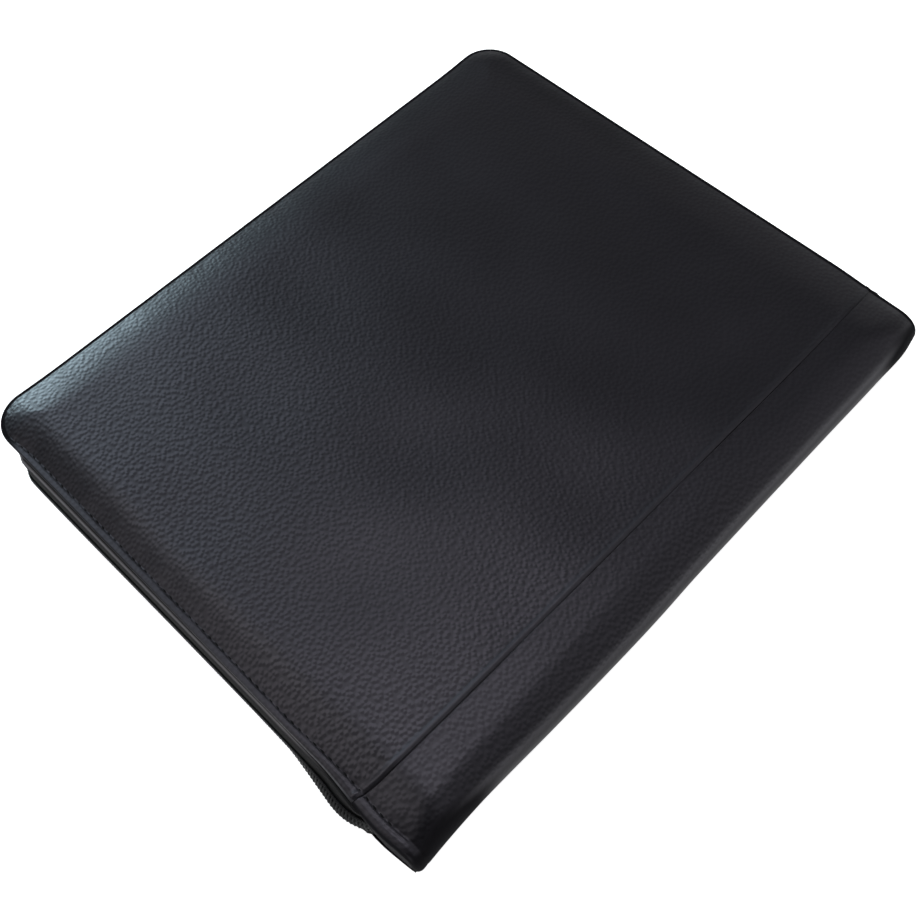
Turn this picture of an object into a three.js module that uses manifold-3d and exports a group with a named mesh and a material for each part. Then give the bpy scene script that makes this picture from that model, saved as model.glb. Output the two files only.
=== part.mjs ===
// A zip-around leather folio for a tablet, closed and lying on its back cover.
// Millimetres. +X points to the spine, +Y along the spine to the slider's end of the zip, +Z up.
// The pieces are drawn from the fore lip, x = 0, and a group sets the origin under the middle.
import * as THREE from 'three';
import { mergeVertices } from 'three/addons/utils/BufferGeometryUtils.js';
import Module from 'manifold-3d';

// Driving dimensions of the leather
const COVER_LENGTH = 270.4; // along the spine, lip to lip
const COVER_WIDTH = 230.4; // from the fore lip to the outside of the spine
const CORNER_RADIUS = 14.5; // the two fore corners in plan
const WALL = 3; // padded leather
const SEAM_STEP = 0.7; // the panels' turned edges stand this far above the spine strip
const GAP = 0.3; // clearance between neighbouring pieces
const CROWN_HEIGHT = 24; // top of the padded front above the table
const PILLOW = 0.8; // extra height in the middle of the front
const FRONT_LIP_HEIGHT = 20; // top of the flat stitched lip
const BACK_LIP_HEIGHT = 2; // underside of the back lip
const LIP_WIDTH = 4.5;
const ROLL_WIDTH = 13.5; // from the lip up to the crown
const EDGE_ROUND = 1; // worn rounding of the lips' outer edges
const SPINE_LIP_DROP = 1.2; // the front lip sinks this far where it turns round the spine

// How far the lips splay outwards at the near end, beside the spine
const FRONT_FLARE = 1.9;
const BACK_FLARE = 3.4;
const FLARE_START = 44; // from the spine
const FLARE_FULL = 16; // from the spine
const FLARE_CORNER = 0.5; // share that is left at the corner itself
const FLARE_DEPTH = 35; // along the spine, from the end

// The spine's gentle wave and the seam's bow, by place along the spine
const SPINE_RUN = [
  { y: -137, spineOut: 1.6, seamX: 202.5 },
  { y: -104, spineOut: 0.5, seamX: 204.9 },
  { y: -45, spineOut: 1.2, seamX: 206.5 },
  { y: 0, spineOut: 0.3, seamX: 206.8 },
  { y: 80, spineOut: -1.0, seamX: 205.7 },
  { y: 124, spineOut: -0.3, seamX: 204.4 },
  { y: 136, spineOut: -3.2, seamX: 203.9 },
];

// Driving dimensions of the zip
const CHAIN_HEIGHT = 6;
const CHAIN_THICKNESS = 1.6;
const CHAIN_CHAMFER = 0.5;
const TAPE_THICKNESS = 0.8;
const TAPE_TUCK = 6; // how far the tapes reach in under the lips
const TAPE_LEDGE = 0.7; // how far the tapes stand out before they turn to the chain
const TAPE_LAP = 0.9; // how far the tapes reach behind the chain
const TAPE_END_FROM_SPINE = 13;

// Where the middle of the chain runs at the near end, measured from the spine and out from the lip
const ZIP_NEAR_END = [
  { fromSpine: 13, out: -3.0, height: 10, lean: 8 },
  { fromSpine: 20, out: 2.1, height: 10, lean: 24 },
  { fromSpine: 26, out: 3.6, height: 10, lean: 34 },
  { fromSpine: 32, out: 3.9, height: 10.1, lean: 36 },
  { fromSpine: 40, out: 3.2, height: 10.2, lean: 32 },
  { fromSpine: 48, out: 2.3, height: 10.3, lean: 16 },
  { fromSpine: 58, out: 1.75, height: 10.3, lean: 0 },
];
const ZIP_PLAIN = ZIP_NEAR_END[ZIP_NEAR_END.length - 1];
const CORNER_TUCK = 3.3; // the zip draws in under the lips at the fore corners
const CORNER_TUCK_FULL = 16; // along the zip, from the middle of the corner
const CORNER_TUCK_END = 26;

// Driving dimensions of the slider, whose middle is where the closed chain ends
const SLIDER_FROM_SPINE = 27;
const SLIDER_LENGTH = 11;
const SLIDER_PLATE = 1.2;
const SLIDER_OVERLAP = 0.5; // plates past the chain's edges
const SLIDER_POST = 3.2;
const PULL_LENGTH = 26;
const PULL_WIDTH = 5;
const PULL_THICKNESS = 1.3;
const PULL_STANDOFF = 0.5;
const PULL_DROOP = 9; // degrees that its free end hangs down

const HALF_LENGTH = COVER_LENGTH / 2;
const ARC_STEPS = 8;

const smooth = (from, to, at) => THREE.MathUtils.smoothstep((at - from) / (to - from), 0, 1);

// A smooth curve through the rows of a table, read at one place
function along(rows, key, at, column) {
  const last = rows.length - 1;
  const place = THREE.MathUtils.clamp(at, rows[0][key], rows[last][key]);
  let i = 0;
  while (i < last - 1 && place > rows[i + 1][key]) i += 1;
  const slope = (k) => {
    const a = rows[Math.max(k - 1, 0)];
    const b = rows[Math.min(k + 1, last)];
    return (b[column] - a[column]) / (b[key] - a[key]);
  };
  const span = rows[i + 1][key] - rows[i][key];
  const t = (place - rows[i][key]) / span;
  const hermite = 3 * t * t - 2 * t * t * t;
  return (
    rows[i][column] * (1 - hermite) +
    rows[i + 1][column] * hermite +
    span * t * (1 - t) * (slope(i) * (1 - t) - slope(i + 1) * t)
  );
}

// How far a point lies inside the lips' outline, which is open towards the spine
function edgeDistance(x, y) {
  const fromEnd = HALF_LENGTH - Math.abs(y);
  if (x < CORNER_RADIUS && fromEnd < CORNER_RADIUS) {
    return CORNER_RADIUS - Math.hypot(CORNER_RADIUS - x, CORNER_RADIUS - fromEnd);
  }
  return Math.min(x, fromEnd);
}

// 0 along the panels, 1 where the lips come to the spine
const besideSpine = (x) => smooth(COVER_WIDTH - FLARE_START, COVER_WIDTH - FLARE_FULL, x);

const frontLip = (x) => FRONT_LIP_HEIGHT - SPINE_LIP_DROP * besideSpine(x);

// 0 on the lip, 1 where the padding is full
const fullness = (x, y) => smooth(LIP_WIDTH, LIP_WIDTH + ROLL_WIDTH, edgeDistance(x, y));

function frontHeight(x, y) {
  const bow = (1 - (2 * x / COVER_WIDTH - 1) ** 2) * (1 - (y / HALF_LENGTH) ** 2);
  return THREE.MathUtils.lerp(frontLip(x), CROWN_HEIGHT + PILLOW * bow, fullness(x, y));
}

const backHeight = (x, y) => BACK_LIP_HEIGHT * (1 - fullness(x, y));

function edgeRounding(x, y) {
  const share = THREE.MathUtils.clamp(edgeDistance(x, y) / EDGE_ROUND, 0, 1);
  return EDGE_ROUND * (1 - share) ** 2;
}

// The near end's lips splay outwards beside the spine, the back one further than the front one
function flare(x, y, z) {
  const layer = THREE.MathUtils.mapLinear(z, BACK_LIP_HEIGHT, FRONT_LIP_HEIGHT, BACK_FLARE, FRONT_FLARE);
  const corner = 1 - (1 - FLARE_CORNER) * smooth(COVER_WIDTH - FLARE_FULL, COVER_WIDTH, x);
  const depth = smooth(HALF_LENGTH - FLARE_DEPTH, HALF_LENGTH, -y);
  return layer * besideSpine(x) * corner * depth;
}

const leatherPoint = (x, y, z) => new THREE.Vector3(x, y - flare(x, y, z), z);

// Joins closed loops of equal count into a body; each loop runs out along one face and back on the other
function loft(loops) {
  const count = loops[0].length;
  const rows = loops.length;
  const index = [];
  const quad = (a, b, c, d) => index.push(a, b, c, a, c, d);
  for (let i = 0; i < rows - 1; i += 1) {
    for (let j = 0; j < count; j += 1) {
      const next = (j + 1) % count;
      quad(i * count + j, i * count + next, (i + 1) * count + next, (i + 1) * count + j);
    }
  }
  const top = (rows - 1) * count;
  for (let k = 0; k < count / 2 - 1; k += 1) {
    quad(k + 1, k, count - 1 - k, count - 2 - k);
    quad(top + k, top + k + 1, top + count - 2 - k, top + count - 1 - k);
  }
  const geometry = new THREE.BufferGeometry();
  const positions = loops.flat().flatMap((p) => [p.x, p.y, p.z]);
  geometry.setAttribute('position', new THREE.Float32BufferAttribute(positions, 3));
  geometry.setIndex(signedVolume(positions, index) < 0 ? index.reverse() : index);
  return geometry;
}

function signedVolume(positions, index) {
  const at = (i) => new THREE.Vector3().fromArray(positions, 3 * i);
  let volume = 0;
  for (let i = 0; i < index.length; i += 3) {
    volume += at(index[i]).dot(at(index[i + 1]).cross(at(index[i + 2])));
  }
  return volume;
}

// Places along the spine, close together where the lips, corners and padding curve
function lengthStations() {
  const nearEnd = [0, 0.4, 1, 2.5, 5, 7.5, 10, 12.5, 15, 18, 28, 45, 70, 100];
  const near = nearEnd.map((inset) => inset - HALF_LENGTH);
  return [...near, 0, ...near.map((y) => -y).reverse()];
}

// Where the corner arc leaves the outline at one place along the spine
function foreEdge(y) {
  const past = Math.abs(y) - (HALF_LENGTH - CORNER_RADIUS);
  return past > 0 ? CORNER_RADIUS - Math.sqrt(CORNER_RADIUS ** 2 - past ** 2) : 0;
}

function panelStations(y) {
  const start = foreEdge(y);
  const seam = along(SPINE_RUN, 'y', y, 'seamX') - GAP / 2;
  const lip = [0, 1, 5, 7.5, 10, 12.5, 15, 18].map((inset) => start + inset);
  const flareStart = COVER_WIDTH - FLARE_START;
  const middle = [0.33, 0.66, 1].map((share) => THREE.MathUtils.lerp(lip.at(-1), flareStart, share));
  const besideSeam = [0.33, 0.66, 1].map((share) => THREE.MathUtils.lerp(flareStart, seam, share));
  return [...lip, ...middle, ...besideSeam];
}

function panel(outside, inside) {
  return loft(lengthStations().map((y) => {
    const xs = panelStations(y);
    const outer = xs.map((x) => leatherPoint(x, y, outside(x, y)));
    const inner = xs.map((x) => leatherPoint(x, y, inside(x, y)));
    return [...outer, ...inner.reverse()];
  }));
}

const frontOutside = (x, y) => frontHeight(x, y) - edgeRounding(x, y);
const frontInside = (x, y) => frontHeight(x, y) - WALL;
const backOutside = (x, y) => backHeight(x, y) + edgeRounding(x, y);
const backInside = (x, y) => backHeight(x, y) + WALL;

// One face of the spine strip at one place: flat from the front seam, a half turn, flat to the back seam
function spineFace(y, top, bottom, out) {
  const seam = along(SPINE_RUN, 'y', y, 'seamX') + GAP / 2;
  const turn = (top(COVER_WIDTH, y) - bottom(COVER_WIDTH, y)) / 2;
  const centre = COVER_WIDTH + along(SPINE_RUN, 'y', y, 'spineOut') - out - turn;
  const middle = (top(COVER_WIDTH, y) + bottom(COVER_WIDTH, y)) / 2;
  const flat = [0, 0.5].map((share) => ({
    x: THREE.MathUtils.lerp(seam, centre, share),
    z: THREE.MathUtils.lerp(top(seam, y), top(COVER_WIDTH, y), share),
  }));
  const upper = flat.map(({ x, z }) => leatherPoint(x, y, z));
  const lower = flat.map(({ x }) => leatherPoint(x, y, bottom(COVER_WIDTH, y))).reverse();
  const round = Array.from({ length: 2 * ARC_STEPS + 1 }, (_, i) => {
    const angle = Math.PI * (0.5 - i / (2 * ARC_STEPS));
    return leatherPoint(centre + turn * Math.cos(angle), y, middle + turn * Math.sin(angle));
  });
  return [...upper, ...round, ...lower];
}

function spineStrip() {
  const outerTop = (x, y) => frontOutside(x, y) - SEAM_STEP;
  const outerBottom = (x, y) => backOutside(x, y) + SEAM_STEP;
  return loft(lengthStations().map((y) => [
    ...spineFace(y, outerTop, outerBottom, 0),
    ...spineFace(y, frontInside, backInside, WALL - SEAM_STEP).reverse(),
  ]));
}

// The zip's way round three sides, from the near end of the spine to the far end
function zipRoute(endFromSpine) {
  const stops = [13, 15, 17, 20, 23, 26, 29, 32, 36, 40, 44, 48, 53, 58, 90, 130, 170];
  const route = stops.map((fromSpine) => ({
    x: COVER_WIDTH - fromSpine,
    y: -HALF_LENGTH,
    facing: -Math.PI / 2,
    out: along(ZIP_NEAR_END, 'fromSpine', fromSpine, 'out'),
    height: along(ZIP_NEAR_END, 'fromSpine', fromSpine, 'height'),
    lean: THREE.MathUtils.degToRad(along(ZIP_NEAR_END, 'fromSpine', fromSpine, 'lean')),
  }));
  for (const side of [-1, 1]) route.push(...foreCorner(side));
  const farStops = stops.filter((fromSpine) => fromSpine > endFromSpine).reverse();
  for (const fromSpine of [...farStops, endFromSpine]) {
    route.push({ x: COVER_WIDTH - fromSpine, y: HALF_LENGTH, facing: Math.PI / 2, ...plainZip(Infinity) });
  }
  return route;
}

// The zip away from the spine, drawn in near the middle of a fore corner
const plainZip = (fromCorner) => ({
  out: ZIP_PLAIN.out - CORNER_TUCK * (1 - smooth(CORNER_TUCK_FULL, CORNER_TUCK_END, fromCorner)),
  height: ZIP_PLAIN.height,
  lean: 0,
});

// The zip's stops round one fore corner and along both sides of it, in the order of the route
function foreCorner(side) {
  const quarter = (CORNER_RADIUS * Math.PI) / 4;
  const straight = [16, 18.5, 21, 23.5, 26];
  const places = straight.flatMap((place) => [-place, place]);
  for (let i = 0; i <= ARC_STEPS; i += 1) places.push(quarter * (2 * i / ARC_STEPS - 1));
  places.sort((a, b) => a - b);
  return places.map((place) => {
    const turned = THREE.MathUtils.clamp(place / quarter, -1, 1) * Math.PI / 4;
    const facing = side * 3 * Math.PI / 4 - turned;
    const beyond = place - THREE.MathUtils.clamp(place, -quarter, quarter);
    return {
      x: CORNER_RADIUS * (1 + Math.cos(facing)) + beyond * Math.sin(facing),
      y: side * (HALF_LENGTH - CORNER_RADIUS) + CORNER_RADIUS * Math.sin(facing) - beyond * Math.cos(facing),
      facing,
      ...plainZip(Math.abs(place)),
    };
  });
}

// Sets a section's points, out from the lip and up, at one stop of the route
function stand(stop, points) {
  const direction = new THREE.Vector3(Math.cos(stop.facing), Math.sin(stop.facing), 0);
  return points.map(({ u, z }) => new THREE.Vector3(stop.x, stop.y, z).addScaledVector(direction, u));
}

// A point of the leaning chain, given across its thickness and up its height
const onChain = (stop, across, up) => ({
  u: stop.out + across * Math.cos(stop.lean) - up * Math.sin(stop.lean),
  z: stop.height + across * Math.sin(stop.lean) + up * Math.cos(stop.lean),
});

function zipChain() {
  const h = CHAIN_HEIGHT / 2;
  const t = CHAIN_THICKNESS / 2;
  const c = CHAIN_CHAMFER;
  const outer = [[t - c, h], [t, h - c], [t, c - h], [t - c, -h]];
  const section = [...outer, ...outer.map(([across, up]) => [-across, up]).reverse()];
  return loft(zipRoute(SLIDER_FROM_SPINE).map((stop) =>
    stand(stop, section.map(([across, up]) => onChain(stop, across, up)))));
}

// A tape lies flat against its lip, steps out past it and turns to the chain; side is 1 under the front
function zipTape(side) {
  const half = TAPE_THICKNESS / 2;
  return loft(zipRoute(TAPE_END_FROM_SPINE).map((stop) => {
    const lipFace = side > 0 ? frontLip(stop.x) - WALL : BACK_LIP_HEIGHT + WALL;
    const seat = lipFace - side * (GAP + half);
    const splay = stop.y < 0 ? flare(stop.x, -HALF_LENGTH, lipFace) : 0;
    const behind = -CHAIN_THICKNESS / 2 - GAP - half;
    const chainEdge = onChain(stop, behind, side * CHAIN_HEIGHT / 2);
    const ledge = Math.min(splay, chainEdge.u) + TAPE_LEDGE;
    const line = [
      { u: ledge - TAPE_TUCK, z: seat },
      { u: ledge - 2 * TAPE_LEDGE, z: seat },
      { u: ledge, z: seat - side * TAPE_THICKNESS },
      chainEdge,
      onChain(stop, behind, side * (CHAIN_HEIGHT / 2 - TAPE_LAP)),
    ];
    return stand(stop, [...offset(line, half), ...offset(line, -half).reverse()]);
  }));
}

// A line moved sideways by a distance, square to its own course
function offset(line, distance) {
  return line.map((point, i) => {
    const before = line[Math.max(i - 1, 0)];
    const after = line[Math.min(i + 1, line.length - 1)];
    const du = after.u - before.u;
    const dz = after.z - before.z;
    const scale = distance / Math.hypot(du, dz);
    return { u: point.u - dz * scale, z: point.z + du * scale };
  });
}

const wasm = await Module();
wasm.setup();

function toSolid(geometry) {
  const bare = geometry.clone();
  bare.deleteAttribute('normal');
  bare.deleteAttribute('uv');
  const merged = mergeVertices(bare);
  return new wasm.Manifold(new wasm.Mesh({
    numProp: 3,
    vertProperties: new Float32Array(merged.attributes.position.array),
    triVerts: new Uint32Array(merged.index.array),
  }));
}

function toGeometry(solid) {
  const mesh = solid.getMesh();
  const geometry = new THREE.BufferGeometry();
  geometry.setAttribute('position', new THREE.BufferAttribute(mesh.vertProperties, 3));
  geometry.setIndex(new THREE.BufferAttribute(mesh.triVerts, 1));
  return geometry;
}

// A block given by its lowest and highest corners
function block(low, high) {
  const size = high.map((value, i) => value - low[i]);
  const geometry = new THREE.BoxGeometry(...size);
  geometry.translate(...high.map((value, i) => (value + low[i]) / 2));
  return toSolid(geometry);
}

// The pull's outline: a rounded tab that lies back along the closed chain
function pullTab() {
  const end = PULL_WIDTH / 2;
  const shape = new THREE.Shape();
  shape.moveTo(end, -end / 2);
  shape.lineTo(end, end / 2);
  shape.lineTo(end - PULL_LENGTH, end);
  shape.absarc(end - PULL_LENGTH, 0, end, Math.PI / 2, (3 * Math.PI) / 2, false);
  const tab = new THREE.ExtrudeGeometry(shape, {
    depth: PULL_THICKNESS,
    bevelEnabled: false,
    curveSegments: ARC_STEPS,
  });
  tab.rotateX(Math.PI / 2);
  tab.rotateY(THREE.MathUtils.degToRad(-PULL_DROOP));
  return tab;
}

// Slider in its own frame: x along the zip to the spine, y out of it, z up, middle of the chain at zero
function slider() {
  const half = SLIDER_LENGTH / 2;
  const inner = CHAIN_THICKNESS / 2 + GAP;
  const back = -inner - TAPE_THICKNESS - GAP;
  const outer = inner + SLIDER_PLATE;
  const rim = CHAIN_HEIGHT / 2 + SLIDER_OVERLAP;
  const past = rim + 1;
  const post = SLIDER_POST / 2;
  const bridge = outer + PULL_STANDOFF;
  const body = block([-half, back - SLIDER_PLATE, -rim], [half, outer, rim])
    .subtract(block([-half - 1, back, -past], [GAP, inner, past]))
    .subtract(block([0, back, post], [half + 1, inner, past]))
    .subtract(block([0, back, -past], [half + 1, inner, -post]));
  const lug = block([-PULL_WIDTH / 2, outer - GAP, -post], [PULL_WIDTH / 2, bridge + GAP, post]);
  const tab = pullTab().translate(0, bridge + PULL_THICKNESS, 0);
  return toGeometry(body.add(lug).add(toSolid(tab)));
}

const leather = new THREE.MeshStandardMaterial({ color: 0x1c1b1f, roughness: 0.55, metalness: 0 });
const tape = new THREE.MeshStandardMaterial({ color: 0x242328, roughness: 0.9, metalness: 0 });
const coil = new THREE.MeshStandardMaterial({ color: 0x151517, roughness: 0.45, metalness: 0 });
const gunmetal = new THREE.MeshStandardMaterial({ color: 0x55555a, roughness: 0.35, metalness: 1 });

function piece(name, geometry, material) {
  const mesh = new THREE.Mesh(geometry, material);
  mesh.name = name;
  return mesh;
}

const folio = new THREE.Group();
folio.add(piece('front_panel', panel(frontOutside, frontInside), leather));
folio.add(piece('spine_panel', spineStrip(), leather));
folio.add(piece('back_panel', panel(backOutside, backInside), leather));
folio.add(piece('zip_tape_front', zipTape(1), tape));
folio.add(piece('zip_tape_back', zipTape(-1), tape));
folio.add(piece('zip_chain', zipChain(), coil));

const zipSlider = piece('zip_slider', slider(), gunmetal);
zipSlider.position.set(COVER_WIDTH - SLIDER_FROM_SPINE, HALF_LENGTH + ZIP_PLAIN.out, ZIP_PLAIN.height);
folio.add(zipSlider);

const box = new THREE.Box3().setFromObject(folio);
const centre = box.getCenter(new THREE.Vector3());
folio.position.set(-centre.x, -centre.y, 0);

export default folio;
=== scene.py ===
"""A zip-around leather folio for a tablet, closed and lying on its back cover."""

import math

import bmesh
import bpy
import numpy as np
from mathutils import Matrix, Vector
from mathutils.kdtree import KDTree

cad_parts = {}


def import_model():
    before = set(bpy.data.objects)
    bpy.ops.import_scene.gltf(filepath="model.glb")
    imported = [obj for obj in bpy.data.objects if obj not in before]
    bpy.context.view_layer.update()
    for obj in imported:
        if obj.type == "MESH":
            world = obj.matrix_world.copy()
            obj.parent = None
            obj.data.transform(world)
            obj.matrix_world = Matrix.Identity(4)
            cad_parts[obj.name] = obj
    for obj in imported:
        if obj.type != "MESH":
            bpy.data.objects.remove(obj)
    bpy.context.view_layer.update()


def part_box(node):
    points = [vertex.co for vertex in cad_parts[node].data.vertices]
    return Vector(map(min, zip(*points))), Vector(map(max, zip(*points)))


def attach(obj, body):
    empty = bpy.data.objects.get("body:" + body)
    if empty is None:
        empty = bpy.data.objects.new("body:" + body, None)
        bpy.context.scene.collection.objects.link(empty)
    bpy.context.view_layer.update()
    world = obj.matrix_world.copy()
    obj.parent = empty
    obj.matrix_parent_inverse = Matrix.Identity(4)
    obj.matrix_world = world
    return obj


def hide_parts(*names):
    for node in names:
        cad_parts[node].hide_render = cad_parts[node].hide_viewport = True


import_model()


def table(columns, *rows):
    """Rows of numbers, kept as named columns."""
    return dict(zip(columns.split(), np.array(rows, float).T))


# Sizes are millimetres from the fore lip, as the solids have them
MM = 0.001
COVER_LENGTH = 270.4
COVER_WIDTH = 230.4
CORNER_RADIUS = 14.5
WALL = 3
SEAM_STEP = 0.12
CROWN_HEIGHT = 24
PILLOW = 0.8
FRONT_LIP_HEIGHT = 20
BACK_LIP_HEIGHT = 2
SPINE_LIP_DROP = 1.2
HALF_LENGTH = COVER_LENGTH / 2

# How far the lips splay outwards at the near end, beside the spine
FRONT_FLARE = 1.9
BACK_FLARE = 2.5
FLARE_START = 44
FLARE_FULL = 16
FLARE_CORNER = 0.5
FLARE_DEPTH = 35
# How far the fore lip bows in between its corners
FORE_BOW = 0.9
FORE_BOW_REACH = 45
FORE_BOW_ENDS = (0.75, 1)

# The spine's gentle wave, how far it is pressed flat and the seam's bow, by place along the spine
SPINE_RUN = table(
    "y spine_out turn seam_x",
    (-137, 1.9, 1.1, 202.7),
    (-124, 1.4, 1.14, 206.1),
    (-104, 0.6, 1.2, 206.8),
    (-74, 1.0, 1.35, 207.0),
    (-45, 1.3, 1.55, 207.0),
    (-20, 1.0, 1.6, 207.0),
    (0, 0.4, 1.6, 206.9),
    (42, -0.3, 1.6, 206.9),
    (75, -0.6, 1.6, 206.9),
    (108, -1.1, 1.6, 206.5),
    (124, -1.3, 1.55, 205.7),
    (136, -3.4, 1.4, 204.5),
)
# Power of the turn's curve: 2 is an ellipse, and more makes it start more gently
TURN_POWER = 3
SEAM_MIDDLE = 206
SEAM_BOW_REACH = 60
SEAM_SLIT = 0.07
SEAM_END_GAP = 0.5
# Stops on the strip's flat part, as shares of its width, and how many round the turn
FLAT_SHARES = (0, 0.015, 0.03, 0.06, 0.1, 0.17, 0.3, 0.5, 0.7, 0.87)
TURN_STOPS = 45

# Sewing: the lips' turned edges, the sunk line of stitches and the leather that it gathers
EDGE_ROUND = 0.8
UNDER_ROUND = 0.6
LEAST_ROUND = 0.1
NARROW_INSET = 0.9
WIDE_LIP_RUN = (4, 30)
NEAR_END_RUN = (0.5, 0.9)
HIDDEN_SINK = 0.35
LIP_WALL = 1.6
LIP_WALL_RUN = (2, 8)
# The near end's lip: its stitches draw in towards the spine, and its edge rolls under to the back
NEAR_LIP = table(
    "x inset edge_round bottom",
    (30, 2.9, 0.45, 18.4),
    (140, 2.9, 0.45, 18.2),
    (170, 2.8, 0.9, 15.5),
    (190, 3.5, 1.8, 13.8),
    (205, 4.5, 2.6, 12.5),
    (214, 4.5, 2.6, 9),
    (221, 4.5, 2.6, 4.4),
    (231, 4.5, 2.6, 7.5),
)
STITCH_PITCH = 3.5
STITCH_LENGTH = 2.0
STITCH_SLANT = 0.12
STITCH_SINK = 1.2
STITCH_RISE = 1.6
STITCH_SWAY = 0.06
SPINE_STITCHES = 17
THREAD_RADIUS = 0.27
BAND_FULLNESS = 0.06
GROOVE_DEPTH = 0.2
GROOVE_WIDTH = 0.42
GROOVE_BETWEEN = 0.45
PAD_GAP = 0.4
PAD_RUN = 24
NEAR_PAD_RUN = 14.5
PUCKER_DEPTH = 0.07
PUCKER_PLACE = 0.9
PUCKER_REACH = 1.7
GATHER_DEPTH = 0.09
GATHER_PLACE = 3
GATHER_REACH = 4.5
GATHER_START = (-1, 0.5)
RIDGE_HEIGHT = 0.32
RIDGE_PLACE = 1.4
RIDGE_WIDTH = 0.9
RIDGE_ROUND = 0.18
SEAM_DIP = 0.08
SEAM_DIP_WIDTH = 0.6
SEAM_FADE = 0.5

# Where the leather is pressed smooth; where edge ink and painted shade take away its shine; and the
# painted highlight on the seam ridge
FAR_HALF = (-20, 110)
FAR_SMOOTHNESS = 0.85
FAR_SMOOTH_RUN = (-60, 90)
LIP_PRESSED = 0.65
LIP_PRESSED_RUN = (-0.6, 1.2)
SEAM_PRESSED = 0.7
SEAM_PRESSED_RUN = (1.2, 3)
# Painted highlight along the seam ridge, fading towards the far end
RIDGE_HIGHLIGHT_FADE = 0.8
# Painted shade along the seam's slit in the far half
FAR_SEAM_SHADE = 0.32
FAR_SEAM_RUN = (0.2, 1.1)
# Edge ink along the lips' edges, which is also a painted shade line along them
INK_AND_SHADE_RUN = (1.2, 2.3)
# Edge ink and painted shade on the near end's cut lip edge, fading towards the spine
CUT_INK_AND_SHADE = 0.42
CUT_RUN = (0.4, 1.0)
CUT_FADE = 0.5
CUT_FADE_RUN = (60, 170)
# Painted shade on the outer part of the rolled lip beside the spine, in place of its highlight
ROLL_SHADE = 0.9
ROLL_SHARE = 0.6
# Painted shade on the spine where it turns to face sideways and down, and more at both ends
SPINE_UNDERSIDE_SHADE = 0.42
SPINE_UNDERSIDE_RUN = (0.75, 0.3)
SPINE_END_SHADE = 0.6
SPINE_END_RUN = (1, 0.7)
SPINE_NEAR_END = (-95, -125)
SPINE_FAR_END = (105, 130)
SPINE_PRESSED = 0.4
SPINE_UNEVENNESS = 0.4

# The back cover's plan at the fore corners
BACK_TUCK = 1.7
BACK_TUCK_REACH = 45
BACK_TUCK_ENDS = (0.6, 1)

# Slow unevenness of the padded leather: a wave's length across and along, its phase and its height
LEATHER_WAVES = (
    (71, 190, 0.4, 0.10),
    (-118, 64, 2.1, 0.12),
    (47, -93, 4.0, 0.06),
    (160, 41, 5.2, 0.05),
)
# Gathers along the stitched line: whole waves in the full round of stitches, phase and share
GATHER_WAVES = (
    (71, 0.3, 0.45),
    (109, 1.7, 0.35),
    (163, 4.4, 0.20),
)

# Zip
CHAIN_HEIGHT = 6
CHAIN_THICKNESS = 1.6
CORE_OUT = 0.25
CORE_IN = -0.35
COIL_HALF = 2.0
COIL_PITCH = 1.4
COIL_RADIUS = 0.4
COIL_START = (-0.25, 1, 0.0)
COIL_MIDDLE = (0.0, 0.5, 0.55)
COIL_END = (0.2, -0.3, 0.1)
COIL_SWAY = 0.03
TAPE_THICKNESS = 0.8
TAPE_TUCK = 6
TAPE_LEDGE = 1.15
TAPE_LEDGE_FADE = 0.5
TAPE_LEDGE_RUN = (60, 185)
TAPE_FOLD = 0.55
# Painted highlight along the tape's folded edge: its width, its place by the folded edge, and where it
# fades out beside the spine
FOLD_HIGHLIGHT_WIDTH = 0.28
FOLD_PLACE = (0.75, 0.15)
FOLD_HIDDEN = (165, 195)
TAPE_LAP = 2.0
TAPE_CLEARANCE = 0.3
TAPE_END_FROM_SPINE = 13
ZIP_NEAR_END = table(
    "from_spine out height lean",
    (13, -3.0, 10, 8),
    (20, 1.8, 10, 24),
    (26, 4.0, 10, 34),
    (32, 4.5, 10.1, 36),
    (40, 3.6, 10.2, 32),
    (48, 2.9, 10.3, 16),
    (58, 2.2, 10.3, 0),
    (110, 2.1, 10.3, 0),
    (195, 2.5, 10.3, 0),
    (224, 1.75, 10.3, 0),
)
CORNER_TUCK = 3.3
CORNER_TUCK_FULL = 15
CORNER_TUCK_END = 26.5

# Slider, whose middle is where the closed chain ends
SLIDER_FROM_SPINE = 27
SLIDER_LENGTH = 11
SLIDER_PLATE = 1.2
SLIDER_RIM = 3.1
SLIDER_CORNER = 2.0
SLIDER_TAPER = 0.18
SLIDER_BEVEL = 0.4
SLIDER_POST = 3.2
NOSE_GAP = 0.2
NOSE_CORNER = 0.8
NOSE_BEVEL = 0.1
LUG_SHARE = 0.45
LUG_CORNER = 0.6
LUG_SINK = 0.3
LUG_RISE = 0.4
PULL_BEVEL = 0.35
PULL_LENGTH = 26
PULL_WIDTH = 5
PULL_THICKNESS = 1.3
PULL_STANDOFF = 0.5
PULL_DROOP = 9

# Places in the frame
front_low, front_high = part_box("front_panel")
SHIFT = np.array([front_low.x / MM, front_high.y / MM - HALF_LENGTH, 0])


def to_frame(points):
    return (np.asarray(points, float) + SHIFT) * MM


def smooth(start, end, at):
    share = np.clip((np.asarray(at, float) - start) / (end - start), 0, 1)
    return share * share * (3 - 2 * share)


def bump_at(place, middle, width):
    return np.exp(-(((place - middle) / width) ** 2))


def quarter_round(inset, radius):
    """How far a rounded edge falls away, by distance in from the edge."""
    share = np.clip(1 - inset / radius, 0, 1)
    return radius * (1 - np.sqrt(1 - share * share))


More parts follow.
